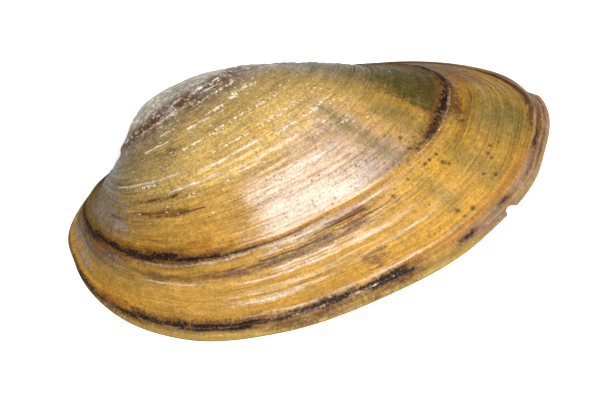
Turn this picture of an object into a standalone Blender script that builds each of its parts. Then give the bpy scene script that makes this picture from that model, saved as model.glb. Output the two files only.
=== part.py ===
"""One valve of a freshwater river mussel, lying open side down on its margin.

The valve is one grown piece. Its outside is the margin line repeated at every stage of growth, each
stage smaller and turned further about the hinge line, so that the young shell curls over the hinge as
the beak. Its inside is the hollow under that roof, with a hinge shelf and teeth along the upper edge.

Constants are in millimetres, the mesh in metres. +X runs along the shell to its rear end, +Y to the
hinge, +Z out of the valve, and the margin rests on z = 0.
"""

import bmesh
import bpy
import numpy as np
from mathutils import Vector
from mathutils.bvhtree import BVHTree

MM = 0.001

# Margin: distance from the beak, by the angle round it in degrees. The angle starts at the front end
# of the hinge line, is 90 straight below the beak and ends at the rear end of the hinge line.
MARGIN = (
    (3, 10.0),
    (12, 23.2),
    (24, 29.6),
    (40, 35.1),
    (60, 39.1),
    (82, 42.1),
    (105, 47.6),
    (125, 56.3),
    (140, 62.5),
    (153, 61.1),
    (164, 41.5),
    (173, 16.5),
    (177, 5.0),
)

# Growth: stage 1 is the full-grown margin and stage 0 the tip of the beak.
COIL = 1.04            # turning about the hinge, in radians for each e-fold of growth
BEAK_STAGE = 0.05      # below this stage the coil comes to rest
FRONT_LAG = 0.34       # how much less the front end grew than the rear end
REAR_LEAN = 0.128      # lean of the swollen part towards the rear
HINGE_SLOPE = 10.75    # degrees between the hinge line and the length of the shell
BEAK_AT = (-17.55, 19.34)    # the beak in the plan, seen from the middle of the shell

# Growth stops: stage, height of the ledge left there, and the breadth in stages of the swelling
# before it. The shell drops behind each ledge and starts again lower.
LEDGES = (
    (0.26, 0.20, 0.030),
    (0.47, 0.14, 0.030),
    (0.718, 0.50, 0.040),
    (0.80, 0.28, 0.025),
    (0.955, 0.34, 0.020),
)
LEDGE_DROP = 0.006     # breadth in stages of the drop behind a ledge
RIPPLE = 0.10          # height of the growth ripples between the ledges
RIPPLE_PITCH = 0.078   # stages from ripple to ripple
RELIEF_HINGE_FADE = (0.03, 0.10)    # shares of the margin, from each hinge end, where it fades in
RELIEF_BEAK_FADE = (0.06, 0.20)     # stages over which it fades in beside the beak
RELIEF_EDGE_FADE = 0.02      # stages before the margin where it fades out

# Damage of the margin: angle where it starts and ends, and its depth in stages of growth.
CHIP = (129.95, 131.35, 0.015)
WORN_STEP = (151.7, 157.5, 0.030)
BREAK_FLANK = 0.25     # degrees over which the chip reaches its depth
STEP_FLANK = 0.10      # and the worn step
BREAK_STAGES = (0.9, 1.0)    # stages over which the rows draw back to a break
SETBACK = 0.75         # how far a break moves the inner edge, as a share of its depth

# Walls and inside.
RIM_WIDTH = 1.3
EDGE_THICKNESS = 0.95
BEAK_THICKNESS = 2.3
THICK_ROOF = 13.0      # roof height where the wall has its full thickness
WALL_SLOPE = 3.0       # steepness of the step from rim or shelf up into the hollow
STEP_ROUNDING = 1.2
LEAST_NORMAL = 0.35    # limits the upright thickness under steep parts of the roof
INNER_TURN = (0.62, 0.35)    # half way in, the inner rows run through the margin shrunk by this

# Hinge shelf: its height over the rim plane, width, and reach from the beak along the margin.
SHELF_HEIGHT = 1.6
SHELF_WIDTH = 5.0
SHELF_RISE = 0.4       # breadth of the rise from the rim to the shelf
SHELF_FRONT = (11.0, 19.0)
SHELF_REAR = (34.0, 44.0)

# Hollow under the beak, above the shelf: how far it reaches back to the hinge.
CAVITY_REACH = 3.6
CAVITY_FLOOR = (2.6, 5.5)
CAVITY_TOP = (8.0, 12.5)
CAVITY_HALF_LENGTH = 13.0
CAVITY_DEPTH = (8.0, 20.0)

# Teeth. Cross teeth in front of the beak: place along the margin and across the shelf.
# Long teeth behind it: place across the shelf, between two places along the margin.
CROSS_TEETH = (3.6, 9.0)
CROSS_TOOTH_HALF = (1.9, 2.2)
CROSS_TOOTH_ACROSS = 3.3
CROSS_TOOTH_HEIGHT = 1.15
LONG_TEETH = (2.5, 4.3)
LONG_TOOTH_HALF = 0.75
LONG_TOOTH_RUN = (10.0, 16.0, 34.0, 40.0)
LONG_TOOTH_HEIGHT = 1.0

# Fineness of the faces.
COLUMNS = 96
HINGE_CROWDING = 0.35  # the columns stand closer together at the hinge
CORNER_CLEARANCE = 0.25      # share of a column's gap kept clear beside the corner of a break
BEAK_STAGES = (0.02, 0.06)
SPREAD_FROM = 0.1      # stage where the evenly spread rows start
SPREAD_STAGES = 22
LEAST_STAGE_GAP = 0.013
MARGIN_SAMPLES = 900
INNER_STEPS = (1.7, 2.5, 3.3, 4.3, 5.1, 5.7, 6.6, 8.0, 10.5)
MIDDLE_SHARES = (0.2, 0.45, 0.72, 1.0)
LEAST_REACH = 1e-9
RAY_FLOOR = -1.0       # height from which the roof is looked for
MERGE_DISTANCE = 0.0005
SHARP_ANGLE = 40.0     # degrees between two faces from which their edge shades sharp

COLOUR = (0.42, 0.26, 0.085, 1.0)
ROUGHNESS = 0.42


def smooth_step(low, high, value):
    """0 below low, 1 above high, and a smooth rise between."""
    share = np.clip((value - low) / (high - low), 0.0, 1.0)
    return share * share * (3.0 - 2.0 * share)


def smooth_through(knots, values, places):
    """A smooth curve through the values at the knots, read at the given places."""
    knots, values = np.asarray(knots, float), np.asarray(values, float)
    gaps = np.diff(knots)
    slopes = np.diff(values) / gaps
    tangents = np.empty_like(values)
    tangents[1:-1] = (slopes[:-1] * gaps[1:] + slopes[1:] * gaps[:-1]) / (gaps[:-1] + gaps[1:])
    tangents[0] = 2.0 * slopes[0] - tangents[1]
    tangents[-1] = 2.0 * slopes[-1] - tangents[-2]
    at = np.clip(np.searchsorted(knots, places, side="right") - 1, 0, len(knots) - 2)
    t = (places - knots[at]) / gaps[at]
    start = (1.0 + 2.0 * t) * (1.0 - t) ** 2 * values[at]
    leave = t * (1.0 - t) ** 2 * gaps[at] * tangents[at]
    end = t * t * (3.0 - 2.0 * t) * values[at + 1]
    arrive = t * t * (t - 1.0) * gaps[at] * tangents[at + 1]
    return start + leave + end + arrive


def margin_line():
    """The margin from the beak round to the beak again: angle, x, y and run along it."""
    knots, distances = np.array(MARGIN, float).T
    angle = np.linspace(knots[0], knots[-1], MARGIN_SAMPLES)
    reach = smooth_through(knots, distances, angle)
    x = np.concatenate(([0.0], -reach * np.cos(np.radians(angle)), [0.0]))
    y = np.concatenate(([0.0], -reach * np.sin(np.radians(angle)), [0.0]))
    angle = np.concatenate(([0.0], angle, [180.0]))
    run = np.concatenate(([0.0], np.cumsum(np.hypot(np.diff(x), np.diff(y)))))
    return angle, x, y, run


def break_columns(angle, share):
    """Places along the margin that the corners of the chip and the worn step need."""
    corners = []
    for place, flank in ((CHIP[0], BREAK_FLANK), (CHIP[1], BREAK_FLANK), (WORN_STEP[0], STEP_FLANK)):
        corners += [place - flank, place + flank]
    corners.append(0.5 * (CHIP[0] + CHIP[1]))
    return np.interp(corners, angle, share)


def column_places(angle, run):
    """Places of the columns, as shares of the margin's length, closer together at the hinge."""
    even = np.linspace(0.0, 1.0, COLUMNS + 1)
    crowded = even - HINGE_CROWDING * np.sin(2.0 * np.pi * even) / (2.0 * np.pi)
    corners = break_columns(angle, run / run[-1])
    clear = np.abs(crowded[:, None] - corners[None, :]).min(axis=1) > CORNER_CLEARANCE / COLUMNS
    return np.sort(np.concatenate((crowded[clear], corners)))


def stage_rows():
    """Stages of growth that get a row: three on each ledge, the others spread evenly."""
    on_ledges = []
    for stage, _height, breadth in LEDGES:
        on_ledges += [stage - 0.5 * breadth, stage, stage + LEDGE_DROP]
    spread = np.concatenate((BEAK_STAGES, np.linspace(SPREAD_FROM, 1.0, SPREAD_STAGES)))
    kept = [s for s in spread if min(abs(s - ledge) for ledge in on_ledges) > LEAST_STAGE_GAP]
    return np.sort(np.array([0.0] + kept + on_ledges))


def edge_stage(angle):
    """Stage of growth that the margin still reaches where it is chipped or worn."""
    in_chip = smooth_step(CHIP[0] - BREAK_FLANK, CHIP[0] + BREAK_FLANK, angle)
    in_chip = in_chip * (1.0 - smooth_step(CHIP[1] - BREAK_FLANK, CHIP[1] + BREAK_FLANK, angle))
    in_step = smooth_step(WORN_STEP[0] - STEP_FLANK, WORN_STEP[0] + STEP_FLANK, angle)
    in_step = in_step * (1.0 - smooth_step(WORN_STEP[0], WORN_STEP[1], angle))
    return 1.0 - CHIP[2] * in_chip - WORN_STEP[2] * in_step


def to_row_frame(x, y):
    """From the hinge line's own directions to the length and height of the shell."""
    turn = np.radians(HINGE_SLOPE)
    along = x * np.cos(turn) - y * np.sin(turn) + BEAK_AT[0]
    up = x * np.sin(turn) + y * np.cos(turn) + BEAK_AT[1]
    return along, up


def grown(x, y, stage):
    """Where a point of the full-grown margin lay at an earlier stage of growth."""
    reach = np.maximum(np.hypot(x, y), LEAST_REACH)
    front = 0.5 * (1.0 - x / reach)
    size = stage ** (1.0 - FRONT_LAG * front)
    slowed = np.sqrt((stage ** 2 + BEAK_STAGE ** 2) / (1.0 + BEAK_STAGE ** 2))
    coil = -COIL * np.log(slowed)
    along, up = to_row_frame(size * (x - REAR_LEAN * y * np.sin(coil)), size * y * np.cos(coil))
    return np.stack([along, up, -size * y * np.sin(coil)], axis=-1)


def relief(stage, share):
    """Height of the ledges and growth ripples over the smooth shell."""
    height = RIPPLE * 0.5 * np.sin(2.0 * np.pi * stage / RIPPLE_PITCH)
    for at, ledge, breadth in LEDGES:
        swelling = np.exp(np.minimum(stage - at, 0.0) / breadth)
        behind = 1.0 - smooth_step(at, at + LEDGE_DROP, stage)
        height = height + ledge * swelling * behind
    ends = np.minimum(share, 1.0 - share)
    height = height * smooth_step(*RELIEF_HINGE_FADE, ends)
    height = height * smooth_step(*RELIEF_BEAK_FADE, stage)
    return height * smooth_step(0.0, RELIEF_EDGE_FADE, 1.0 - stage)


def roof_heights(roof, along, up):
    """Height and upright part of the normal of the outer skin over each place in the plan."""
    height = np.zeros_like(along)
    upright = np.ones_like(along)
    for index in np.ndindex(along.shape):
        start = Vector((along[index], up[index], RAY_FLOOR))
        hit, normal, _face, _distance = roof.ray_cast(start, Vector((0.0, 0.0, 1.0)))
        if hit is not None:
            height[index] = hit.z
            upright[index] = abs(normal.z)
    return height, upright


def smooth_least(first, second, rounding):
    """The lesser of two heights, rounded where they meet."""
    meeting = np.clip(rounding - np.abs(first - second), 0.0, None) / rounding
    return np.minimum(first, second) - 0.25 * rounding * meeting ** 2


def shelf_share(run):
    """1 along the hinge shelf, 0 along the rest of the margin."""
    front = 1.0 - smooth_step(*SHELF_FRONT, run)
    rear = 1.0 - smooth_step(*SHELF_REAR, -run)
    return front * rear


def teeth(run, distance):
    """Height of the hinge teeth under the shelf."""
    height = np.zeros(np.broadcast(run, distance).shape)
    for place in CROSS_TEETH:
        along = (run - place) / CROSS_TOOTH_HALF[0]
        across = (distance - CROSS_TOOTH_ACROSS) / CROSS_TOOTH_HALF[1]
        height = np.maximum(height, CROSS_TOOTH_HEIGHT * np.exp(-(along ** 2) - across ** 4))
    rise, full, fall, end = LONG_TOOTH_RUN
    length = smooth_step(rise, full, -run) * (1.0 - smooth_step(fall, end, -run))
    for place in LONG_TEETH:
        across = (distance - place) / LONG_TOOTH_HALF
        height = np.maximum(height, LONG_TOOTH_HEIGHT * length * np.exp(-(across ** 2)))
    return height


def inner_heights(roof, along, up, run, distance):
    """Height of the inner face: the shelf by the hinge, and the roof less the wall elsewhere."""
    height, upright = roof_heights(roof, along, up)
    thickness = EDGE_THICKNESS + (BEAK_THICKNESS - EDGE_THICKNESS) * smooth_step(0.0, THICK_ROOF, height)
    under_roof = height - thickness / np.maximum(upright, LEAST_NORMAL)
    share = shelf_share(run)
    flat = SHELF_HEIGHT * smooth_step(RIM_WIDTH, RIM_WIDTH + SHELF_RISE, distance) - teeth(run, distance)
    on_shelf = flat + WALL_SLOPE * np.maximum(distance - SHELF_WIDTH, 0.0)
    by_rim = WALL_SLOPE * (distance - RIM_WIDTH)
    step = by_rim + (on_shelf - by_rim) * share
    return np.maximum(smooth_least(under_roof, step, STEP_ROUNDING), 0.0)


def cavity_shift(along, up, height):
    """How far the hollow under the beak reaches back over the shelf."""
    shift = CAVITY_REACH * smooth_step(*CAVITY_FLOOR, height) * (1.0 - smooth_step(*CAVITY_TOP, height))
    shift = shift * np.exp(-((along - BEAK_AT[0]) / CAVITY_HALF_LENGTH) ** 2)
    return shift * (1.0 - smooth_step(*CAVITY_DEPTH, BEAK_AT[1] - up))


def inner_face(roof, x, y, run, setback):
    """Points of the inner face, from the inner edge of the rim to the middle of the hollow."""
    edge_along, edge_up = to_row_frame(x, y)
    turn_along, turn_up = INNER_TURN[0] * edge_along, INNER_TURN[1] * edge_up
    length = np.hypot(turn_along - edge_along, turn_up - edge_up)
    steps = np.array((RIM_WIDTH,) + INNER_STEPS)[:, None]
    near = np.broadcast_to(steps, (len(steps), len(x)))
    near_share = (near + setback) / (2.0 * length)
    middle = near_share[-1] + (1.0 - near_share[-1]) * np.array(MIDDLE_SHARES)[:, None]
    share = np.concatenate((near_share, middle))
    far = np.full((len(MIDDLE_SHARES), len(x)), 2.0 * INNER_STEPS[-1])
    distance = np.concatenate((near, far))
    along = (1.0 - share) ** 2 * edge_along + 2.0 * share * (1.0 - share) * turn_along
    up = (1.0 - share) ** 2 * edge_up + 2.0 * share * (1.0 - share) * turn_up
    height = inner_heights(roof, along, up, run, distance)
    up = up + cavity_shift(along, up, height)
    return np.stack([along, up, height], axis=-1)


def roof_tree(points):
    """The smooth outer skin as a tree for finding the roof over a place."""
    rows, columns = points.shape[:2]
    corners = [Vector(point) for point in points.reshape(-1, 3)]
    faces = []
    for row in range(rows - 1):
        for column in range(columns - 1):
            low = row * columns + column
            faces.append((low, low + 1, low + columns + 1, low + columns))
    return BVHTree.FromPolygons(corners, faces)


def valve_points():
    """All points of the valve, row by row, and the relief that each is raised by."""
    angle, x, y, run = margin_line()
    places = column_places(angle, run)
    at = places * run[-1]
    column_angle, x, y = (np.interp(at, run, line) for line in (angle, x, y))
    stages = stage_rows()[:, None]
    reached = edge_stage(column_angle)
    kept = stages - (1.0 - reached) * smooth_step(*BREAK_STAGES, stages)
    outside = grown(x, y, kept)
    setback = SETBACK * (1.0 - reached) * np.hypot(x, y)
    from_beak = np.where(places < 0.5, at, at - run[-1])
    inside = inner_face(roof_tree(outside), x, y, from_beak, setback)
    raised = np.concatenate((relief(kept, places), np.zeros(inside.shape[:2])))
    return np.concatenate((outside, inside)), raised


def raise_relief(shell, layer):
    """Move every point out along its normal by the height kept in the layer, and drop the layer."""
    shell.normal_update()
    moves = [(vertex, vertex.normal * vertex[layer] * MM) for vertex in shell.verts]
    for vertex, move in moves:
        vertex.co += move
    shell.verts.layers.float.remove(layer)


def valve_mesh():
    """The valve as one closed grid: beak, outside, margin, rim, inside and middle of the hollow."""
    points, raised = valve_points()
    rows, columns = raised.shape
    shell = bmesh.new()
    layer = shell.verts.layers.float.new("relief")
    grid = bmesh.ops.create_grid(shell, x_segments=columns - 1, y_segments=rows - 1, size=0.5)
    for vertex, point, height in zip(grid["verts"], points.reshape(-1, 3), raised.ravel()):
        vertex.co = Vector(point) * MM
        vertex[layer] = height
    bmesh.ops.remove_doubles(shell, verts=shell.verts, dist=MERGE_DISTANCE * MM)
    bmesh.ops.recalc_face_normals(shell, faces=shell.faces)
    raise_relief(shell, layer)
    mesh = bpy.data.meshes.new("valve")
    shell.to_mesh(mesh)
    shell.free()
    mesh.shade_smooth()
    mesh.set_sharp_from_angle(angle=np.radians(SHARP_ANGLE))
    return mesh


def shell_material():
    """Glossy tan brown outer skin of the shell."""
    material = bpy.data.materials.new("shell_skin")
    material.use_nodes = True
    shader = material.node_tree.nodes["Principled BSDF"]
    shader.inputs["Base Color"].default_value = COLOUR
    shader.inputs["Roughness"].default_value = ROUGHNESS
    shader.inputs["Metallic"].default_value = 0.0
    return material


def build():
    for old in list(bpy.data.objects):
        bpy.data.objects.remove(old)
    collection = bpy.data.collections.new("river_mussel_valve")
    bpy.context.scene.collection.children.link(collection)
    valve = bpy.data.objects.new("valve", valve_mesh())
    valve.data.materials.append(shell_material())
    collection.objects.link(valve)


build()
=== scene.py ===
"""The finish of one freshwater river mussel valve, lying open side down, and the studio round it.

The valve grows from the same rule as its solid: the margin line is repeated at every stage of growth,
smaller and turned further about the hinge line. Lengths in the constants are millimetres.
"""

import math

import bpy
import numpy as np
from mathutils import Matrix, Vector


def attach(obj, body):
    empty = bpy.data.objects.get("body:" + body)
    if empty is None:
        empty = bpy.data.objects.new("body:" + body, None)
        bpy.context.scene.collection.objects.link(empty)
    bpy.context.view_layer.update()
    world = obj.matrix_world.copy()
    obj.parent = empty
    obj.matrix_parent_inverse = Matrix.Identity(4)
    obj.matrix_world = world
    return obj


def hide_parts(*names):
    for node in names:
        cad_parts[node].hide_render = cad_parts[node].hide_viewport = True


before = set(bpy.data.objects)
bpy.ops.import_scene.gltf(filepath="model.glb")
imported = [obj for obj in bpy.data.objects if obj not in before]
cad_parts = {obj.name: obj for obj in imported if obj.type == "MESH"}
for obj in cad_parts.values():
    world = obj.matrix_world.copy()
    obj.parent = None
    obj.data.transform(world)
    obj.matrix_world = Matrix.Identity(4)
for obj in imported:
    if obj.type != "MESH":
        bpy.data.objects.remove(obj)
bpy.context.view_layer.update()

MM = 0.001

# Margin: distance from the beak, by the angle round it in degrees. The angle starts at the front end
# of the hinge line, is 90 straight below the beak and ends at the rear end of the hinge line.
MARGIN = (
    (3, 10.0),
    (12, 23.2),
    (24, 29.6),
    (40, 35.1),
    (60, 39.1),
    (82, 42.1),
    (105, 47.6),
    (125, 56.3),
    (140, 62.5),
    (153, 61.1),
    (164, 41.5),
    (173, 16.5),
    (177, 5.0),
)
MARGIN_SAMPLES = 900

# Sizes that the growth tree takes as its inputs. Stage 1 is the full-grown margin.
GROWTH_SIZES = {
    "Columns": 300,
    "Outside Rows": 280,
    "Inside Rows": 50,
    "Coil": 1.04,
    "Beak Stage": 0.05,
    "Front Lag": 0.34,
    "Rear Lean": 0.128,
    "Hinge Slope": math.radians(10.75),
    "Beak Along": -17.55,
    "Beak Up": 19.34,
    "Ledge Height": 1.0,
    "Ripple Height": 0.05,
    "Ridge Height": 0.13,
    "Thread Height": 0.05,
    "Flake Height": 0.16,
    "Line Height": 0.11,
    "Wear Depth": 0.16,
    "Rim Width": 1.3,
    "Edge Thickness": 0.95,
    "Beak Thickness": 2.3,
    "Thick Roof": 13.0,
    "Shelf Height": 1.6,
    "Shelf Width": 5.0,
    "Cavity Reach": 3.6,
    "Cross Tooth Height": 1.15,
    "Long Tooth Height": 1.0,
    "Scar Depth": 0.30,
    "Seed": 4.0,
}

FIRST_STAGE = 0.012
MERGE_DISTANCE = 0.00002
SHARP_ANGLE = 50.0

# Columns: how far they draw together at the hinge, and round the chip and the worn step.
HINGE_CROWDING = 0.25
BREAK_CROWDING = 0.6
BREAK_CROWD_REACH = 0.03

# Growth stops: stage, height of the ledge, breadth of the swelling before it, and the angles between
# which the ledge is weak.
LEDGES = (
    (0.26, 0.20, 0.030, 125, 180),
    (0.47, 0.14, 0.030, 100, 180),
    (0.718, 0.50, 0.040, 84, 128),
    (0.80, 0.28, 0.025, 112, 180),
    (0.955, 0.34, 0.020, 112, 180),
)
LEDGE_DROP = 0.006
WEAK_LEDGE = 0.45
WEAK_SOFT = 8.0
FULL_FLAKES = 0.3      # height of a ledge that flakes fully

# Growth lines that stand up from the skin: stage, share of the full height, half their breadth, and the
# angles between which they show.
RAISED_LINES = (
    (0.932, 0.4, 0.006, 76, 122),
    (0.885, 0.9, 0.010, 66, 94),
    (0.861, 0.4, 0.006, 66, 122),
    (0.822, 0.8, 0.008, 64, 118),
    (0.803, 0.8, 0.008, 42, 110),
    (0.773, -0.5, 0.009, 72, 122),
    (0.742, 0.9, 0.009, 42, 72),
    (0.506, 0.45, 0.006, 56, 84),
    (0.476, 0.8, 0.007, 70, 104),
    (0.358, 0.8, 0.007, 50, 90),
)
LINE_SOFT = 8.0
RIPPLE_PITCH = 0.078
FRONT_RIDE = 0.030     # stages that the growth lines ride up at the front end
FRONT_RIDE_ANGLES = (22.0, 46.0)
WAVER = 0.012          # stages that they waver
REAR_RIDGES = (148.0, 172.0, 8.0)
WORN_STAGES = (0.14, 0.34)
RELIEF_HINGE_FADE = (0.03, 0.10)
RELIEF_BEAK_FADE = (0.03, 0.12)
RELIEF_EDGE_FADE = 0.02
RELIEF_RISE = 0.9

# Damage of the margin: angle where it starts and ends, and its depth in stages of growth.
CHIP = (129.95, 131.35, 0.015)
WORN_STEP = (151.7, 157.5, 0.030)
BREAK_FLANK = 0.25
STEP_FLANK = 0.10
SETBACK = 0.75

# Walls and inside.
WALL_SLOPE = 3.0
STEP_ROUNDING = 1.2
LEAST_NORMAL = 0.35
INNER_TURN = (0.62, 0.35)
RIM_ROWS = 0.10
NEAR_ROWS = 0.72
NEAR_REACH = 10.5
SHELF_RISE = 0.4
SHELF_FRONT = (11.0, 19.0)
SHELF_REAR = (34.0, 44.0)
CAVITY_FLOOR = (2.6, 5.5)
CAVITY_TOP = (8.0, 12.5)
CAVITY_HALF_LENGTH = 13.0
CAVITY_DEPTH = (8.0, 20.0)
CROSS_TEETH = (3.6, 9.0)
CROSS_TOOTH_HALF = (1.9, 2.2)
CROSS_TOOTH_ACROSS = 3.3
LONG_TEETH = (2.5, 4.3)
LONG_TOOTH_HALF = 0.75
LONG_TOOTH_RUN = (10.0, 16.0, 34.0, 40.0)

# Muscle scars: place along and up the shell, and half their length and height.
SCARS = ((-28.5, 6.0, 5.2, 4.0), (21.5, 9.0, 6.5, 4.6))
PALLIAL_GROOVE = 0.10

# Colours of the skin, and how its ground changes with the stage of growth.
INK = (0.010, 0.006, 0.006)
UMBER = (0.078, 0.032, 0.010)
PLUM = (0.125, 0.058, 0.030)
RUST = (0.340, 0.135, 0.008)
CHALK = (0.700, 0.580, 0.470)
LILAC = (0.240, 0.180, 0.150)
ROSE = (0.210, 0.125, 0.085)
# HAZE_AND_HIGHLIGHT: pale pink of worn skin, and of a painted highlight over the crown.
HAZE_AND_HIGHLIGHT = (0.480, 0.340, 0.250)
GLINT = (0.300, 0.250, 0.260)
PEARL_GREY = (0.480, 0.490, 0.470)
STAIN = (0.150, 0.060, 0.008)
SLATE = (0.095, 0.100, 0.090)
FRONT_TINT = (0.090, 0.070, 0.030)
REAR_TINT = (0.075, 0.058, 0.022)
GREY_GREEN = (0.140, 0.115, 0.032)
OLIVE = (0.044, 0.044, 0.004)
AMBER = (0.440, 0.225, 0.025)
SKIN_BY_STAGE = (
    (0.00, (0.42, 0.37, 0.28)),
    (0.18, (0.38, 0.33, 0.24)),
    (0.235, (0.29, 0.24, 0.16)),
    (0.250, (0.14, 0.070, 0.025)),
    (0.285, (0.15, 0.078, 0.028)),
    (0.305, (0.20, 0.125, 0.040)),
    (0.36, (0.29, 0.185, 0.052)),
    (0.42, (0.37, 0.235, 0.065)),
    (0.50, (0.42, 0.255, 0.060)),
    (0.60, (0.38, 0.205, 0.040)),
    (0.68, (0.38, 0.190, 0.022)),
    (0.75, (0.38, 0.200, 0.030)),
    (0.82, (0.41, 0.215, 0.028)),
    (0.93, (0.39, 0.195, 0.018)),
    (0.965, (0.27, 0.155, 0.022)),
    (1.00, (0.41, 0.255, 0.040)),
)

# Grain on the place in millimetres: scale, detail and roughness.
SKIN_CLOUD, SKIN_MOTTLE, SKIN_GRAIN = (0.16, 4.0, 0.6), (0.9, 5.0, 0.7), (2.6, 3.0, 0.7)
EDGE_GRAIN, EDGE_CLOUD = (3.0, 3.0, 0.6), (0.25, 3.0, 0.5)
PEARL_SHEEN, PEARL_CLOUD, PEARL_GRAIN = (0.07, 3.0, 0.6), (0.5, 4.0, 0.6), (3.0, 3.0, 0.5)

# Grain of the skin drawn out along the growth lines: degrees that one grain is long, number of grains
# from the beak to the margin, place in the noise, detail and roughness.
RAGGED = (0.9, 70.0, 1.0, 4.0, 0.7)
PATCHES = (7.0, 28.0, 6.0, 3.0, 0.6)
DASHES = (5.0, 120.0, 2.0, 5.0, 0.7)
STREAKS = (26.0, 60.0, 3.0, 6.0, 0.75)
THREADS = (12.0, 220.0, 4.0, 2.0, 0.6)
BEAK_RINGS = (30.0, 90.0, 7.0, 4.0, 0.7)

# Parts of the skin, by stage or by angle: from, to and the soft distance at the ends, or the start and
# end of a rise.
OLD_STAGES = (0.29, 0.52, 0.05)
# The crown is partly lighter skin and partly painted light where the soft box lights the dome.
CROWN_LIGHT_ANGLES, CROWN_LIGHT_STAGES = (78.0, 118.0, 18.0), (0.34, 0.50, 0.06)
FLANK_ANGLES, FLANK_STAGES = (108.0, 128.0, 8.0), (0.45, 0.92, 0.05)
# The haze and highlight patch is partly worn skin and partly a painted highlight where the soft box
# reflects.
HAZE_AND_HIGHLIGHT_ANGLES, HAZE_AND_HIGHLIGHT_END = (92.0, 123.0, 12.0), (0.695, 0.715)
FRONT_ANGLES, FRONT_STAGES, FRONT_FADE = (18.0, 72.0), (0.20, 0.36), (0.78, 0.90)
REAR_ANGLES, REAR_FADE = (130.0, 146.0), (0.70, 0.76)
BROWN_SPECK_STAGES = (0.56, 0.99, 0.05)
POCK_STAGES, POCK_ANGLES = (0.63, 0.715, 0.02), (86.0, 130.0, 4.0)
PALE_SPECK_STAGES, PALE_SPECK_ANGLES = (0.26, 0.60, 0.05), (55.0, 130.0, 15.0)
BARE_BEAK = (0.20, 0.36)
RIM_START = (0.960, 0.970)
STEEP_REAR = (149.0, 156.0)
GLOSSY_ANGLES = (62.0, 124.0, 26.0)
MATT_STAGES = (0.55, 0.705, 0.04)
MATTER_STAGES = (0.555, 0.640, 0.02)
MATT_RING = (0.755, 0.796, 0.008)
DARKEST = 0.08

# Inputs of a mark along the growth lines, in the order of the columns of the next tables: stage, half
# the breadth, angles from and to, fade at the ends in degrees, raggedness, softness and strength.
MARK_VALUES = {
    "Place": 0.5,
    "Half Breadth": 0.01,
    "From": 20.0,
    "To": 160.0,
    "Fade": 6.0,
    "Raggedness": 0.8,
    "Soft": 0.5,
    "Strength": 1.0,
}
INK_MARKS = (
    (0.950, 0.007, 14, 27, 3, 1.2, 0.9, 0.9),
    (0.960, 0.019, 25, 42, 3, 1.4, 0.9, 1.0),
    (0.958, 0.014, 38, 49, 3, 1.2, 0.7, 1.0),
    (0.948, 0.016, 46, 62, 3, 1.3, 0.7, 1.0),
    (0.958, 0.009, 57, 77, 3, 0.9, 0.7, 1.0),
    (0.944, 0.008, 60, 79, 3, 0.9, 0.7, 1.0),
    (0.951, 0.011, 72, 93, 3, 1.3, 0.8, 0.9),
    (0.946, 0.011, 84, 112, 3, 1.5, 0.9, 0.95),
    (0.960, 0.011, 102, 113, 2, 1.5, 0.8, 0.95),
    (0.966, 0.007, 120.5, 124.5, 1.5, 1.4, 0.8, 0.9),
    (0.963, 0.007, 129.8, 132.5, 1.5, 1.4, 0.8, 0.85),
    (0.963, 0.007, 141.5, 148, 2, 1.6, 0.8, 0.9),
    (0.738, 0.036, 6, 30, 4, 1.2, 1.0, 0.95),
    (0.710, 0.021, 25, 48, 3, 1.1, 0.8, 1.0),
    (0.713, 0.024, 41, 61, 4, 1.0, 0.8, 1.0),
    (0.722, 0.014, 55, 73, 4, 1.0, 0.8, 1.0),
    (0.728, 0.005, 66, 84, 4, 1.2, 0.8, 0.9),
    (0.728, 0.003, 78, 98, 6, 1.0, 0.9, 0.6),
    (0.710, 0.010, 128, 138, 4, 1.6, 0.8, 0.85),
    (0.710, 0.013, 134, 158, 3, 1.5, 0.8, 1.0),
    (0.722, 0.013, 147, 164, 3, 1.2, 0.8, 0.95),
)
UMBER_MARKS = (
    (0.268, 0.030, 36, 130, 14, 0.8, 1.6, 0.85),
    (0.937, 0.028, 42, 84, 8, 0.8, 1.2, 0.95),
    (0.974, 0.034, 79, 113, 4, 1.3, 1.2, 0.80),
    (0.577, 0.008, 48, 64, 5, 2.0, 1.2, 0.7),
    (0.736, 0.026, 16, 46, 5, 1.2, 0.9, 0.9),
    (0.727, 0.014, 34, 64, 5, 1.2, 0.9, 0.9),
    (0.782, 0.020, 72, 96, 8, 1.2, 1.4, 0.6),
    (0.785, 0.030, 46, 66, 6, 1.3, 1.6, 0.5),
    (0.736, 0.026, 139, 155, 4, 1.4, 1.2, 0.85),
    (0.692, 0.030, 138, 158, 4, 1.4, 1.4, 0.95),
    (0.664, 0.040, 142, 158, 4, 1.4, 1.6, 0.7),
    # Brown skin and partly a painted shadow: the band just inside the rear ledge.
    (0.944, 0.018, 143, 160, 5, 1.2, 1.1, 0.95),
)
# The same brown in long thin lines.
BROWN_LINES = (
    (0.566, 0.014, 40, 70, 8, 0.6, 1.3, 1.0),
    (0.576, 0.007, 56, 74, 6, 0.8, 1.1, 0.8),
    (0.519, 0.015, 40, 68, 8, 0.6, 1.3, 1.0),
    (0.592, 0.009, 30, 50, 6, 0.9, 1.3, 0.7),
    (0.450, 0.009, 30, 46, 6, 0.9, 1.3, 0.7),
    (0.531, 0.005, 54, 84, 8, 1.0, 1.4, 0.45),
    (0.656, 0.007, 40, 58, 6, 0.9, 1.2, 0.5),
    (0.772, 0.0045, 76, 118, 6, 0.8, 0.8, 0.85),
    (0.764, 0.0030, 78, 114, 6, 0.9, 1.0, 0.5),
    (0.755, 0.0035, 96, 112, 3, 0.8, 0.8, 0.8),
    (0.777, 0.008, 132, 152, 5, 1.0, 1.2, 0.65),
    (0.888, 0.006, 139, 154, 5, 1.0, 1.2, 0.45),
    (0.840, 0.005, 128, 150, 6, 1.0, 1.2, 0.35),
    (0.900, 0.004, 40, 60, 6, 1.0, 1.2, 0.35),
    (0.868, 0.004, 70, 100, 6, 1.0, 1.2, 0.30),
    (0.984, 0.005, 132, 160, 5, 1.6, 1.0, 0.7),
    (0.972, 0.005, 134, 152, 5, 1.6, 1.0, 0.6),
)
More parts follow.
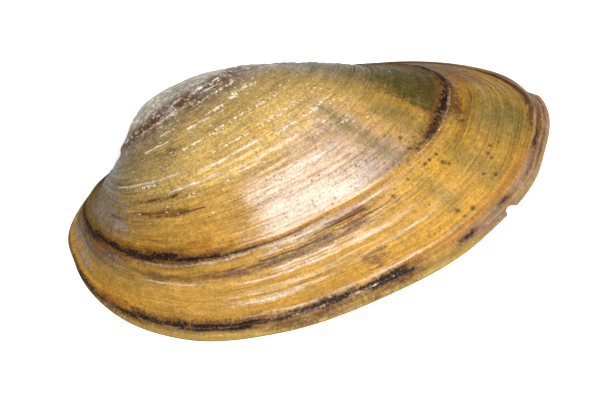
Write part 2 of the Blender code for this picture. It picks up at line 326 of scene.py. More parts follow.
PLUM_MARKS = (
    (0.783, 0.021, 42, 80, 8, 0.45, 1.2, 0.75),
    (0.783, 0.021, 68, 113, 6, 0.70, 0.9, 0.80),
    (0.753, 0.012, 100, 112.5, 3, 0.6, 0.8, 0.95),
    (0.745, 0.030, 80, 116, 6, 1.0, 1.2, 0.5),
    (0.889, 0.034, 103.5, 110.5, 2, 1.6, 1.0, 0.8),
    (0.768, 0.050, 20, 46, 6, 1.2, 1.4, 0.6),
    (0.745, 0.045, 10, 32, 6, 1.2, 1.4, 0.5),
    (0.386, 0.026, 56, 71, 5, 1.4, 1.4, 0.7),
    (0.800, 0.090, 150, 162, 3, 0.8, 1.2, 0.6),
    (0.984, 0.022, 84, 112, 5, 1.2, 1.2, 0.5),
)
RUST_MARKS = (
    (0.695, 0.034, 34, 72, 7, 0.8, 1.4, 1.0),
    (0.712, 0.024, 62, 90, 6, 1.0, 1.4, 0.95),
    (0.729, 0.011, 84, 132, 6, 1.2, 1.2, 0.75),
    (0.942, 0.026, 106, 147, 5, 0.9, 1.3, 0.9),
    (0.934, 0.034, 34, 64, 6, 0.9, 1.4, 0.9),
    (0.758, 0.060, 141, 157, 4, 1.2, 1.5, 0.6),
    (0.976, 0.010, 128, 150, 5, 1.4, 1.2, 0.5),
)
AMBER_MARKS = (
    (0.957, 0.028, 108, 126, 5, 1.0, 1.4, 0.9),
    (0.800, 0.050, 118, 124, 4, 0.8, 1.4, 0.4),
    (0.990, 0.030, 6, 30, 4, 0.8, 1.2, 0.7),
    (0.930, 0.030, 8, 34, 5, 0.8, 1.4, 0.6),
)
# The rows at stages 0.684 and 0.56 beside the crown and the row along the rear ledge at 0.964 are
# partly painted highlight; the rows at the front end are the skin's own grey-lilac streaks.
LILAC_AND_HIGHLIGHT_MARKS = (
    (0.684, 0.060, 110, 129, 6, 1.0, 1.5, 0.75),
    (0.820, 0.150, 14, 31, 5, 1.0, 1.4, 0.75),
    (0.600, 0.120, 16, 44, 8, 1.0, 1.6, 0.95),
    (0.760, 0.060, 14, 43, 6, 1.0, 1.4, 0.85),
    (0.964, 0.028, 119, 156, 6, 1.3, 1.4, 0.65),
    (0.560, 0.120, 112, 126, 6, 1.0, 1.8, 0.4),
)
ROSE_MARKS = (
    (0.984, 0.050, 121, 166, 6, 0.9, 1.0, 0.85),
    (0.900, 0.060, 154, 172, 4, 1.2, 1.3, 0.5),
)
SLATE_MARKS = (
    (0.640, 0.200, 152, 178, 6, 1.0, 1.6, 0.85),
    (0.870, 0.150, 156, 178, 3, 0.9, 1.2, 0.75),
    (0.960, 0.050, 158, 180, 4, 1.0, 1.2, 0.7),
    (0.790, 0.120, 10, 29, 5, 1.0, 1.6, 0.75),
    (0.762, 0.060, 14, 40, 6, 1.0, 1.4, 0.70),
    (0.420, 0.180, 6, 38, 8, 0.8, 1.6, 0.4),
)
OLIVE_MARKS = (
    (0.630, 0.150, 137, 155, 5, 0.8, 1.4, 0.95),
    (0.680, 0.050, 137, 155, 4, 0.9, 1.2, 0.7),
    (0.900, 0.110, 141, 152, 5, 0.8, 1.6, 0.45),
)
# Pale lines along the growth lines: worn skin, and partly painted highlight where the raised lines
# catch the soft box.
PALE_AND_HIGHLIGHT_LINES = (
    (0.934, 0.0034, 76, 108, 10, 0.9, 1.4, 0.75),
    (0.927, 0.0028, 92, 118, 10, 0.9, 1.4, 0.5),
    (0.921, 0.0025, 100, 120, 8, 0.9, 1.4, 0.4),
    (0.885, 0.0105, 70, 92, 8, 0.6, 1.4, 0.9),
    (0.876, 0.0030, 72, 92, 8, 0.9, 1.4, 0.5),
    (0.861, 0.0038, 68, 90, 8, 0.8, 1.4, 0.55),
    (0.857, 0.0030, 104, 124, 8, 0.9, 1.4, 0.5),
    (0.822, 0.0058, 70, 116, 10, 0.9, 1.4, 0.85),
    (0.812, 0.0036, 78, 118, 8, 0.9, 1.4, 0.7),
    (0.803, 0.0055, 44, 66, 6, 0.7, 1.4, 0.85),
    (0.802, 0.0060, 80, 112, 8, 0.9, 1.4, 0.8),
    (0.740, 0.0065, 44, 80, 8, 0.7, 1.4, 0.8),
    (0.745, 0.0240, 80, 104, 8, 1.2, 2.0, 0.6),
    (0.505, 0.0054, 58, 82, 6, 0.7, 1.2, 1.0),
    (0.510, 0.0030, 80, 112, 8, 1.0, 1.4, 0.35),
    (0.476, 0.0054, 72, 104, 6, 0.7, 1.2, 1.0),
    (0.460, 0.0060, 34, 68, 6, 0.9, 1.3, 0.9),
    (0.357, 0.0054, 52, 70, 5, 0.8, 1.2, 0.9),
    (0.355, 0.0054, 76, 92, 3, 0.8, 1.2, 0.95),
    (0.342, 0.0045, 94, 110, 3, 0.9, 1.2, 0.8),
    (0.286, 0.0045, 48, 90, 8, 1.4, 1.4, 0.7),
    (0.276, 0.0050, 96, 110, 4, 1.2, 1.4, 0.8),
)
# Rows of tiny pale dots, where the skin flaked off along a growth line: stage, half their breadth,
# angles from and to, fade at the ends and strength.
DOT_RAGGEDNESS, DOT_SOFT = 1.0, 0.7
DOT_ROWS = (
    (0.719, 0.0050, 137, 156, 5, 0.85),
    (0.725, 0.0040, 124, 150, 5, 0.6),
    (0.484, 0.0050, 102, 128, 6, 0.9),
    (0.446, 0.0040, 76, 104, 6, 0.8),
    (0.444, 0.0070, 102, 124, 6, 0.9),
    (0.472, 0.0090, 44, 58, 4, 0.8),
    (0.403, 0.0050, 66, 94, 6, 0.9),
    (0.396, 0.0060, 86, 122, 6, 0.9),
    (0.345, 0.0060, 86, 104, 4, 0.9),
    (0.336, 0.0090, 100, 122, 6, 0.9),
    (0.330, 0.0060, 60, 76, 5, 0.7),
    (0.300, 0.0070, 88, 122, 6, 0.7),
    (0.262, 0.0060, 92, 118, 5, 0.9),
)
# Rays from the beak: angle, half their breadth, stages from and to, colour and strength.
RAYS = (
    (129.0, 1.6, 0.50, 0.90, AMBER, 0.50),
    (137.8, 1.2, 0.50, 0.87, AMBER, 0.40),
    (124.2, 2.2, 0.50, 0.70, GREY_GREEN, 0.60),
    (124.6, 1.8, 0.78, 0.88, GREY_GREEN, 0.45),
    (133.6, 2.6, 0.58, 0.70, GREY_GREEN, 0.60),
    (133.6, 2.8, 0.77, 0.91, GREY_GREEN, 0.45),
    (144.5, 4.0, 0.78, 0.93, GREY_GREEN, 0.60),
)

# Round brown spots: stage, angle and radius in millimetres.
SPOTS = (
    (0.768, 117.7, 0.55),
    (0.754, 127.6, 0.50),
    (0.754, 129.0, 0.40),
    (0.783, 130.3, 0.50),
    (0.795, 130.7, 0.35),
    (0.755, 122.6, 0.40),
    (0.755, 119.0, 0.30),
    (0.904, 134.0, 0.40),
    (0.856, 136.6, 0.45),
    (0.854, 138.2, 0.45),
    (0.870, 136.2, 0.35),
    (0.875, 132.8, 0.35),
    (0.868, 139.6, 0.35),
    (0.898, 124.6, 0.60),
    (0.919, 126.9, 0.55),
    (0.922, 124.8, 0.35),
    (0.768, 140.6, 0.50),
    (0.756, 130.8, 0.35),
    (0.745, 143.5, 0.60),
    (0.690, 101.5, 0.35),
    (0.694, 107.0, 0.30),
    (0.668, 129.3, 0.45),
)
FLAT_RADIUS = 50.0     # millimetres of skin from stage 0 to stage 1

# Colours of the cut edge from the skin inwards, and of the pearl.
EDGE_BY_DEPTH = (
    (0.00, (0.060, 0.030, 0.012)),
    (0.10, (0.220, 0.140, 0.050)),
    (0.30, (0.460, 0.370, 0.230)),
    (0.65, (0.560, 0.500, 0.400)),
    (1.00, (0.600, 0.580, 0.540)),
)
PEARL = (
    (0.05, (0.49, 0.56, 0.60)),
    (0.30, (0.58, 0.61, 0.60)),
    (0.50, (0.66, 0.63, 0.59)),
    (0.70, (0.66, 0.57, 0.53)),
    (0.95, (0.65, 0.53, 0.49)),
)
PEARL_STAIN = (0.50, 0.42, 0.26)
RIM_BROWN = (0.20, 0.13, 0.06)
RIM_STAIN = (1.6, 2.8)
PALLIAL_LINE = 7.6
PALLIAL_HALF = 0.45
PALLIAL_WANDER = 1.6     # how far the line wanders with the clouds

# Photograph's view: direction, distance and aim of the camera. Then the studio, in metres.
CAMERA_AZIMUTH = -23.67
CAMERA_ELEVATION = 63.03
CAMERA_AIM = (-2.06, -1.87, 0.0)
CAMERA_DISTANCE = 850.0
CAMERA_LENS = 300.3
CAMERA_SENSOR = 36.0
CAMERA_CLIP = (0.05, 10.0)
FLOOR_HALF = 1.5
FLOOR_GLOW = (0.2, 0.55)     # light that the floor gives off, to the shell and to the camera
SURROUNDINGS = 0.45


class Signal:
    """A value in a node tree. Arithmetic on it adds the nodes that work it out."""

    def __init__(self, socket):
        self.socket = socket
        self.tree = socket.id_data

    def __add__(self, other):
        return maths("ADD", self, other)

    def __radd__(self, other):
        return maths("ADD", other, self)

    def __sub__(self, other):
        return maths("SUBTRACT", self, other)

    def __rsub__(self, other):
        return maths("SUBTRACT", other, self)

    def __mul__(self, other):
        return maths("MULTIPLY", self, other)

    def __rmul__(self, other):
        return maths("MULTIPLY", other, self)

    def __truediv__(self, other):
        return maths("DIVIDE", self, other)

    def __rtruediv__(self, other):
        return maths("DIVIDE", other, self)

    def __pow__(self, other):
        return maths("POWER", self, other)

    def __neg__(self):
        return maths("MULTIPLY", self, -1.0)


def feed(socket, value):
    """Set an input to a number, or link it to a signal."""
    if isinstance(value, Signal):
        socket.id_data.links.new(value.socket, socket)
    else:
        socket.default_value = value


def add_node(tree, kind, inputs=None, **settings):
    """A new node with its settings made and its inputs fed."""
    node = tree.nodes.new(kind)
    for name, setting in settings.items():
        setattr(node, name, setting)
    for key, value in (inputs or {}).items():
        feed(node.inputs[key], value)
    return node


def output_of(tree, kind, inputs=None, output=0, **settings):
    """One output of a new node."""
    return Signal(add_node(tree, kind, inputs, **settings).outputs[output])


def tree_of(*values):
    """The tree of the first signal among the values."""
    return next(value.tree for value in values if isinstance(value, Signal))


def maths(operation, *values):
    """One Math node on signals and numbers."""
    return output_of(tree_of(*values), "ShaderNodeMath", dict(enumerate(values)), operation=operation)


def smooth_step(low, high, value):
    """0 below low, 1 above high, and a smooth rise between."""
    inputs = {"Value": value, "From Min": low, "From Max": high}
    return output_of(value.tree, "ShaderNodeMapRange", inputs, interpolation_type="SMOOTHSTEP")


def straight_step(low, high, value):
    """0 below low, 1 above high, and a straight rise between."""
    inputs = {"Value": value, "From Min": low, "From Max": high}
    return output_of(value.tree, "ShaderNodeMapRange", inputs)


def window(low, high, soft, value):
    """1 between low and high, falling to 0 over the soft distance outside them."""
    return smooth_step(low - soft, low, value) * (1.0 - smooth_step(high, high + soft, value))


def bell(value, middle, half):
    """1 at the middle, falling off smoothly on both sides."""
    away = (value - middle) / half
    return maths("EXPONENT", -(away * away))


def blend(first, second, share):
    """From the first number to the second by a share."""
    return first + (second - first) * share


def combine(x, y, z):
    """A vector of three numbers."""
    return output_of(tree_of(x, y, z), "ShaderNodeCombineXYZ", {0: x, 1: y, 2: z})


def separate(vector):
    """The three numbers of a vector."""
    node = add_node(vector.tree, "ShaderNodeSeparateXYZ", {0: vector})
    return [Signal(socket) for socket in node.outputs]


def noise(vector, scale=1.0, detail=2.0, roughness=0.5):
    """Cloudy noise from 0 to 1, about 0.5 on the average."""
    inputs = {"Vector": vector, "Scale": scale, "Detail": detail, "Roughness": roughness}
    return output_of(vector.tree, "ShaderNodeTexNoise", inputs)


def smooth_through(knots, values, places):
    """A smooth curve through the values at the knots, read at the given places."""
    knots, values = np.asarray(knots, float), np.asarray(values, float)
    gaps = np.diff(knots)
    slopes = np.diff(values) / gaps
    tangents = np.empty_like(values)
    tangents[1:-1] = (slopes[:-1] * gaps[1:] + slopes[1:] * gaps[:-1]) / (gaps[:-1] + gaps[1:])
    tangents[0] = 2.0 * slopes[0] - tangents[1]
    tangents[-1] = 2.0 * slopes[-1] - tangents[-2]
    at = np.clip(np.searchsorted(knots, places, side="right") - 1, 0, len(knots) - 2)
    t = (places - knots[at]) / gaps[at]
    start = (1.0 + 2.0 * t) * (1.0 - t) ** 2 * values[at]
    leave = t * (1.0 - t) ** 2 * gaps[at] * tangents[at]
    end = t * t * (3.0 - 2.0 * t) * values[at + 1]
    arrive = t * t * (t - 1.0) * gaps[at] * tangents[at + 1]
    return start + leave + end + arrive


def margin_points():
    """Angles and points of the margin, from the beak round to the beak again."""
    knots, distances = np.array(MARGIN, float).T
    angle = np.linspace(knots[0], knots[-1], MARGIN_SAMPLES)
    reach = smooth_through(knots, distances, angle)
    x = np.concatenate(([0.0], -reach * np.cos(np.radians(angle)), [0.0]))
    y = np.concatenate(([0.0], -reach * np.sin(np.radians(angle)), [0.0]))
    return np.concatenate(([0.0], angle, [180.0])), np.stack([x, y, np.zeros_like(x)], axis=-1)


def margin_guide():
    """The margin as a curve object, in the hinge line's own directions."""
    _angle, points = margin_points()
    curve = bpy.data.curves.new("margin guide", "CURVE")
    curve.dimensions = "3D"
    line = curve.splines.new("POLY")
    line.points.add(len(points) - 1)
    for knot, point in zip(line.points, points):
        knot.co = (*point, 1.0)
    guide = bpy.data.objects.new("margin guide", curve)
    bpy.context.scene.collection.objects.link(guide)
    return guide


def margin_share_at(angle):
    """Share of the margin's length at an angle round the beak."""
    angles, points = margin_points()
    run = np.concatenate(([0.0], np.cumsum(np.linalg.norm(np.diff(points, axis=0), axis=1))))
    return float(np.interp(angle, angles, run) / run[-1])


def even_share_at(angle):
    """Even share of the columns that the crowding at the hinge brings to an angle round the beak."""
    even = np.linspace(0.0, 1.0, MARGIN_SAMPLES)
    place = even - np.sin(even * math.tau) * (HINGE_CROWDING / math.tau)
    return float(np.interp(margin_share_at(angle), place, even))


def crowded(share):
    """Share of the margin's length for an even share of the columns."""
    place = share - maths("SINE", share * math.tau) * (HINGE_CROWDING / math.tau)
    for angle in (0.5 * (CHIP[0] + CHIP[1]), WORN_STEP[0]):
        away = share - even_share_at(angle)
        near = maths("EXPONENT", -(away * away) / BREAK_CROWD_REACH ** 2)
        place = place - away * near * BREAK_CROWDING
    return place


def edge_stage(angle):
    """Stage of growth that the margin still reaches where it is chipped or worn."""
    start, end, depth = CHIP
    in_chip = window(start + BREAK_FLANK, end - BREAK_FLANK, 2.0 * BREAK_FLANK, angle) * depth
    start, end, depth = WORN_STEP
    in_step = smooth_step(start - STEP_FLANK, start + STEP_FLANK, angle)
    in_step = in_step * (1.0 - smooth_step(start, end, angle)) * depth
    return 1.0 - in_chip - in_step


def to_row_frame(given, x, y):
    """From the hinge line's own directions to the length and height of the shell."""
    cosine, sine = maths("COSINE", given["Hinge Slope"]), maths("SINE", given["Hinge Slope"])
    along = x * cosine - y * sine + given["Beak Along"]
    up = x * sine + y * cosine + given["Beak Up"]
    return along, up


def grown(given, x, y, stage):
    """Where a point of the full-grown margin lay at an earlier stage of growth."""
    reach = maths("MAXIMUM", (x * x + y * y) ** 0.5, 1e-6)
    front = 0.5 * (1.0 - x / reach)
    size = stage ** (1.0 - given["Front Lag"] * front)
    rest = given["Beak Stage"] * given["Beak Stage"]
    slowed = ((stage * stage + rest) / (1.0 + rest)) ** 0.5
    coil = -given["Coil"] * maths("LOGARITHM", slowed, math.e)
    sine = maths("SINE", coil)
    flat_x = size * (x - given["Rear Lean"] * y * sine)
    flat_y = size * y * maths("COSINE", coil)
    along, up = to_row_frame(given, flat_x, flat_y)
    return combine(along, up, -(size * y * sine))


def stored(tree, name):
    """A named number of the geometry."""
    return output_of(tree, "GeometryNodeInputNamedAttribute", {"Name": name}, data_type="FLOAT")


def store(geometry, name, value):
    """The geometry with a named number on its points."""
    inputs = {"Geometry": geometry, "Name": name, "Value": value}
    return output_of(geometry.tree, "GeometryNodeStoreNamedAttribute", inputs, data_type="FLOAT")


def move_to(geometry, position):
    """The geometry with its points at a position."""
    inputs = {"Geometry": geometry, "Position": position}
    return output_of(geometry.tree, "GeometryNodeSetPosition", inputs)


def lifted(vector, factor):
    """A vector made longer by a factor."""
    return output_of(vector.tree, "ShaderNodeVectorMath", {0: vector, 3: factor}, operation="SCALE")


def face_grid(tree, columns, rows):
    """A grid of faces that knows its share around the margin and its share across the rows."""
    grid = output_of(tree, "GeometryNodeMeshGrid", {"Vertices X": columns, "Vertices Y": rows})
    turned = output_of(tree, "GeometryNodeFlipFaces", {"Mesh": grid})
    x, y, _z = separate(output_of(tree, "GeometryNodeInputPosition"))
    sheet = store(turned, "around", crowded(x + 0.5))
    return store(sheet, "across", y + 0.5)


def margin_fields(tree, given):
    """Point, angle and run of the margin for each column, and the margin's whole length."""
    curve = output_of(tree, "GeometryNodeObjectInfo", {"Object": given["Margin"]}, "Geometry")
    length = output_of(tree, "GeometryNodeCurveLength", {"Curve": curve})
    inputs = {"Curves": curve, "Factor": stored(tree, "around")}
    settings = {"mode": "FACTOR", "use_all_curves": True}
    x, y, _z = separate(output_of(tree, "GeometryNodeSampleCurve", inputs, "Position", **settings))
    angle = maths("ARCTAN2", -y, -x) * math.degrees(1.0)
    run = stored(tree, "around") * length
    from_beak = run - length * maths("GREATER_THAN", stored(tree, "around"), 0.5)
    return x, y, angle, from_beak


def growth_line(given, stage, angle):
    """The stage as the growth lines show it, which waver and ride up at the front end."""
    front = (1.0 - smooth_step(*FRONT_RIDE_ANGLES, angle)) * smooth_step(0.5, 1.0, stage)
    waver = noise(combine(angle / 7.0, stage * 9.0, given["Seed"]), detail=5.0, roughness=0.62) - 0.5
    return stage - front * FRONT_RIDE + waver * WAVER


def relief(given, line, stage, angle, share, across, position):
    """Height of the ledges, ripples, ridges, flakes and wear over the smooth shell."""
    height = maths("SINE", line * (math.tau / RIPPLE_PITCH)) * given["Ripple Height"]
    flaking = noise(position, scale=0.9, detail=4.0, roughness=0.6)
    for at, ledge, breadth, weak_from, weak_to in LEDGES:
        swelling = maths("EXPONENT", maths("MINIMUM", line - at, 0.0) / breadth)
        behind = 1.0 - smooth_step(at, at + LEDGE_DROP, line)
        strength = 1.0 - window(weak_from, weak_to, WEAK_SOFT, angle) * (1.0 - WEAK_LEDGE)
        height = height + swelling * behind * strength * given["Ledge Height"] * ledge
        flakes = window(at - 0.5 * breadth, at, 0.5 * breadth, line) * strength
        flakes = flakes * (flaking - 0.5) * given["Flake Height"]
        height = height + flakes * min(1.0, ledge / FULL_FLAKES)
    for at, share_of, half, low, high in RAISED_LINES:
        raised = bell(line, at, half) * window(low, high, LINE_SOFT, angle) * (0.5 + flaking)
        height = height + raised * given["Line Height"] * share_of
    steep = 1.0 + window(*REAR_RIDGES, angle)
    ridges = noise(combine(line * 85.0, angle / 24.0, given["Seed"] + 5.0), detail=3.0, roughness=0.55)
    threads = noise(combine(line * 260.0, angle / 16.0, given["Seed"] + 9.0), detail=2.0)
    height = height + (ridges - 0.5) * 2.0 * given["Ridge Height"] * steep
    height = height + (threads - 0.5) * 2.0 * given["Thread Height"] * steep
    wear = noise(position, scale=0.7, detail=5.0, roughness=0.6)
    worn = 1.0 - smooth_step(*WORN_STAGES, stage)
    height = height - (1.0 - wear) * worn * given["Wear Depth"]
    rings = noise(combine(stage * 110.0, angle / 40.0, given["Seed"] + 2.0), detail=3.0, roughness=0.6)
    height = height + (rings - 0.5) * worn * given["Wear Depth"] * 1.4
    ends = maths("MINIMUM", share, 1.0 - share)
    height = height * smooth_step(*RELIEF_HINGE_FADE, ends) * smooth_step(*RELIEF_BEAK_FADE, stage)
    _x, _y, rise = separate(position)
    height = height * smooth_step(0.0, RELIEF_EDGE_FADE, 1.0 - across)
    return height * smooth_step(0.0, RELIEF_RISE, rise)


def smooth_outside(tree, given):
    """The outer skin without its relief, from the beak out to the margin."""
    sheet = face_grid(tree, given["Columns"], given["Outside Rows"])
    x, y, angle, _run = margin_fields(tree, given)
    across = stored(tree, "across")
    spread = blend(FIRST_STAGE, 1.0, across) * maths("GREATER_THAN", across, 0.0)
    kept = spread - (1.0 - edge_stage(angle)) * smooth_step(0.9, 1.0, spread)
    skin = store(store(sheet, "stage", kept), "angle", angle)
    return move_to(skin, grown(given, x, y, stored(tree, "stage")))


def outside(tree, given, skin):
    """The outer skin with its ledges, ridges, flakes and wear."""
    stage, angle = stored(tree, "stage"), stored(tree, "angle")
    position = output_of(tree, "GeometryNodeInputPosition")
    normal = output_of(tree, "GeometryNodeInputNormal")
    marked = store(skin, "line", growth_line(given, stage, angle))
    share, across = stored(tree, "around"), stored(tree, "across")
    height = relief(given, stored(tree, "line"), stage, angle, share, across, position)
    inputs = {"Geometry": marked, "Offset": lifted(normal, height)}
    return output_of(tree, "GeometryNodeSetPosition", inputs)


def shelf_share(run):
    """1 along the hinge shelf, 0 along the rest of the margin."""
    return (1.0 - smooth_step(*SHELF_FRONT, run)) * (1.0 - smooth_step(*SHELF_REAR, -run))


def teeth(given, run, distance):
    """Height of the hinge teeth under the shelf."""
    height = None
    for place in CROSS_TEETH:
        along = (run - place) / CROSS_TOOTH_HALF[0]
        across = (distance - CROSS_TOOTH_ACROSS) / CROSS_TOOTH_HALF[1]
        shape = maths("EXPONENT", -(along * along) - across ** 4.0)
        tooth = given["Cross Tooth Height"] * shape
        height = tooth if height is None else maths("MAXIMUM", height, tooth)
    rise, full, fall, end = LONG_TOOTH_RUN
    length = smooth_step(rise, full, -run) * (1.0 - smooth_step(fall, end, -run))
    for place in LONG_TEETH:
        tooth = given["Long Tooth Height"] * length * bell(distance, place, LONG_TOOTH_HALF)
        height = maths("MAXIMUM", height, tooth)
    return height


def smooth_least(first, second, rounding):
    """The lesser of two heights, rounded where they meet."""
    meeting = maths("MAXIMUM", rounding - maths("ABSOLUTE", first - second), 0.0) / rounding
    return maths("MINIMUM", first, second) - meeting * meeting * (0.25 * rounding)


def roof_over(roof, along, up):
    """Height and upright part of the normal of the outer skin over a place in the plan."""
    inputs = {
        "Target Geometry": roof,
        "Source Position": combine(along, up, -1.0),
        "Ray Direction": (0.0, 0.0, 1.0),
        "Ray Length": 100.0,
    }
    ray = add_node(roof.tree, "GeometryNodeRaycast", inputs)
    hit = Signal(ray.outputs["Is Hit"])
    _x, _y, height = separate(Signal(ray.outputs["Hit Position"]))
    _x, _y, upright = separate(Signal(ray.outputs["Hit Normal"]))
    return height * hit, blend(1.0, maths("ABSOLUTE", upright), hit)


def inner_height(given, roof, along, up, run, distance):
    """Height of the inner face: the shelf by the hinge, and the roof less the wall elsewhere."""
    height, upright = roof_over(roof, along, up)
    full = smooth_step(0.0, given["Thick Roof"], height)
    thickness = blend(given["Edge Thickness"], given["Beak Thickness"], full)
    under_roof = height - thickness / maths("MAXIMUM", upright, LEAST_NORMAL)
    rise = smooth_step(given["Rim Width"], given["Rim Width"] + SHELF_RISE, distance)
    flat = given["Shelf Height"] * rise - teeth(given, run, distance)
    on_shelf = flat + maths("MAXIMUM", distance - given["Shelf Width"], 0.0) * WALL_SLOPE
    by_rim = (distance - given["Rim Width"]) * WALL_SLOPE
    step = blend(by_rim, on_shelf, shelf_share(run))
    return maths("MAXIMUM", smooth_least(under_roof, step, STEP_ROUNDING), 0.0)


def cavity_shift(given, along, up, height):
    """How far the hollow under the beak reaches back over the shelf."""
    shift = given["Cavity Reach"] * smooth_step(*CAVITY_FLOOR, height)
    shift = shift * (1.0 - smooth_step(*CAVITY_TOP, height))
    shift = shift * bell(along, given["Beak Along"], CAVITY_HALF_LENGTH)
    return shift * (1.0 - smooth_step(*CAVITY_DEPTH, given["Beak Up"] - up))


def muscle_scars(along, up):
    """1 in the places where the closing muscles held, 0 round them."""
    mask = None
    for place_along, place_up, half_length, half_height in SCARS:
        away_along, away_up = (along - place_along) / half_length, (up - place_up) / half_height
        scar = 1.0 - smooth_step(0.8, 1.15, (away_along * away_along + away_up * away_up) ** 0.5)
        mask = scar if mask is None else maths("MAXIMUM", mask, scar)
    return mask


def inside(tree, given, roof):
    """The rim and the hollow, from the margin in to the middle."""
    sheet = face_grid(tree, given["Columns"], given["Inside Rows"])
    x, y, angle, run = margin_fields(tree, given)
    across = stored(tree, "across")
    reached = edge_stage(angle)
    edge = grown(given, x, y, reached)
    setback = (1.0 - reached) * (x * x + y * y) ** 0.5 * SETBACK
    edge_along, edge_up = to_row_frame(given, x, y)
    turn_along, turn_up = edge_along * INNER_TURN[0], edge_up * INNER_TURN[1]
    length = ((turn_along - edge_along) ** 2.0 + (turn_up - edge_up) ** 2.0) ** 0.5
    near = straight_step(RIM_ROWS, NEAR_ROWS, across)
    distance = blend(given["Rim Width"], NEAR_REACH, near)
    near_share = (distance + setback) / (length * 2.0)
    share = blend(near_share, 1.0, straight_step(NEAR_ROWS, 1.0, across))
    away = 1.0 - share
    along = away * away * edge_along + share * away * turn_along * 2.0
    up = away * away * edge_up + share * away * turn_up * 2.0
    reach = distance + straight_step(NEAR_ROWS, 1.0, across) * NEAR_REACH
    scars = muscle_scars(along, up)
    groove = bell(reach, PALLIAL_LINE, PALLIAL_HALF) * PALLIAL_GROOVE
    height = inner_height(given, roof, along, up, run, reach)
    height = height + (scars * given["Scar Depth"] + groove) * smooth_step(1.0, 3.0, height)
    hollow = combine(along, up + cavity_shift(given, along, up, height), height)
    on_rim = straight_step(0.0, RIM_ROWS, across)
    place = output_of(tree, "ShaderNodeMix", {0: on_rim, 4: edge, 5: hollow}, 1, data_type="VECTOR")
    sheet = store(store(store(sheet, "run", run), "reach", reach), "scar", scars)
    return move_to(sheet, place)


def paint(geometry, material, selection=True):
    """The geometry with a material on the selected faces."""
    inputs = {"Geometry": geometry, "Selection": selection, "Material": material}
    return output_of(geometry.tree, "GeometryNodeSetMaterial", inputs)


def growth_tree(sizes):
    """The Geometry Nodes tree that grows the valve, and the identifiers of its inputs."""
    kinds = {name: "Int" if isinstance(value, int) else "Float" for name, value in sizes.items()}
    kinds.update({"Margin": "Object", "Skin": "Material", "Edge": "Material", "Nacre": "Material"})
    tree = bpy.data.node_groups.new("valve growth", "GeometryNodeTree")
    tree.interface.new_socket("Geometry", in_out="OUTPUT", socket_type="NodeSocketGeometry")
    sockets = {}
    for name, kind in kinds.items():
        sockets[name] = tree.interface.new_socket(name, in_out="INPUT", socket_type="NodeSocket" + kind)
    entry = tree.nodes.new("NodeGroupInput")
    given = {name: Signal(entry.outputs[name]) for name in sockets}

    roof = smooth_outside(tree, given)
    skin = paint(outside(tree, given, roof), given["Skin"])
    hollow = paint(inside(tree, given, roof), given["Nacre"])
    on_rim = maths("LESS_THAN", stored(tree, "across"), RIM_ROWS)
    hollow = paint(hollow, given["Edge"], on_rim)
    join = add_node(tree, "GeometryNodeJoinGeometry")
    feed(join.inputs[0], skin)
    feed(join.inputs[0], hollow)
    whole = Signal(join.outputs[0])
    whole = output_of(tree, "GeometryNodeMergeByDistance", {0: whole, "Distance": MERGE_DISTANCE})
    whole = output_of(tree, "GeometryNodeTransform", {0: whole, "Scale": (MM, MM, MM)})
    whole = output_of(tree, "GeometryNodeRealizeInstances", {0: whole})
    whole = output_of(tree, "GeometryNodeSetShadeSmooth", {0: whole})
    feed(tree.nodes.new("NodeGroupOutput").inputs[0], whole)
    return tree, {name: socket.identifier for name, socket in sockets.items()}


def grow_valve(materials):
    """The valve as a plain mesh, grown by the tree."""
    tree, identifiers = growth_tree(GROWTH_SIZES)
    guide = margin_guide()
    holder = bpy.data.objects.new("growing valve", bpy.data.meshes.new("growing valve"))
    modifier = holder.modifiers.new("growth", "NODES")
    modifier.node_group = tree
    for name, value in {**GROWTH_SIZES, "Margin": guide, **materials}.items():
        modifier[identifiers[name]] = value
    bpy.context.scene.collection.objects.link(holder)
    grown_now = holder.evaluated_get(bpy.context.evaluated_depsgraph_get())
    mesh = bpy.data.meshes.new_from_object(grown_now)
    mesh.name = "mussel_valve"
    mesh.materials.pop(index=0)
    mesh.set_sharp_from_angle(angle=math.radians(SHARP_ANGLE))
    bpy.data.objects.remove(holder)
    bpy.data.objects.remove(guide)
    valve = bpy.data.objects.new("mussel_valve", mesh)
    bpy.context.scene.collection.objects.link(valve)
    return valve


def new_material(name, **finish):
    """A material, its tree and its shader, with the even values of the finish on the shader."""
    material = bpy.data.materials.new(name)
    material.use_nodes = True
    shader = material.node_tree.nodes["Principled BSDF"]
    for socket, value in finish.items():
        shader.inputs[socket.replace("_", " ")].default_value = value
    return material, material.node_tree, shader


def surface(tree, name):
    """A named number of the mesh, read by a material."""
    return output_of(tree, "ShaderNodeAttribute", output="Fac", attribute_name=name)


def place_mm(tree):
    """The place on the object in millimetres."""
    return lifted(output_of(tree, "ShaderNodeTexCoord", output="Object"), 1.0 / MM)


def tint(first, second, share):
    """From the first colour to the second by a share."""
    inputs = {0: share, 6: first, 7: second}
    for index, value in inputs.items():
        if isinstance(value, tuple):
            inputs[index] = (*value, 1.0)
    return output_of(tree_of(share, first, second), "ShaderNodeMix", inputs, 2, data_type="RGBA")


def shade(colour, light):
    """The colour made lighter or darker by a factor."""
    inputs = {0: 1.0, 6: colour, 7: combine(light, light, light)}
    settings = {"data_type": "RGBA", "blend_type": "MULTIPLY"}
    return output_of(colour.tree, "ShaderNodeMix", inputs, 2, **settings)


def add_bump(tree, shader, height, strength, depth):
    """Bump on a shader, with the strength and the depth in millimetres."""
    inputs = {"Strength": strength, "Distance": depth * MM, "Height": height}
    feed(shader.inputs["Normal"], output_of(tree, "ShaderNodeBump", inputs))


def ramp(value, stops):
    """A colour that runs through the stops."""
    node = add_node(value.tree, "ShaderNodeValToRGB", {0: value})
    elements = node.color_ramp.elements
    while len(elements) < len(stops):
        elements.new(0.5)
    for element, (place, colour) in zip(elements, stops):
        element.position = place
    for element, (place, colour) in zip(elements, stops):
        element.color = (*colour, 1.0)
    return Signal(node.outputs["Color"])


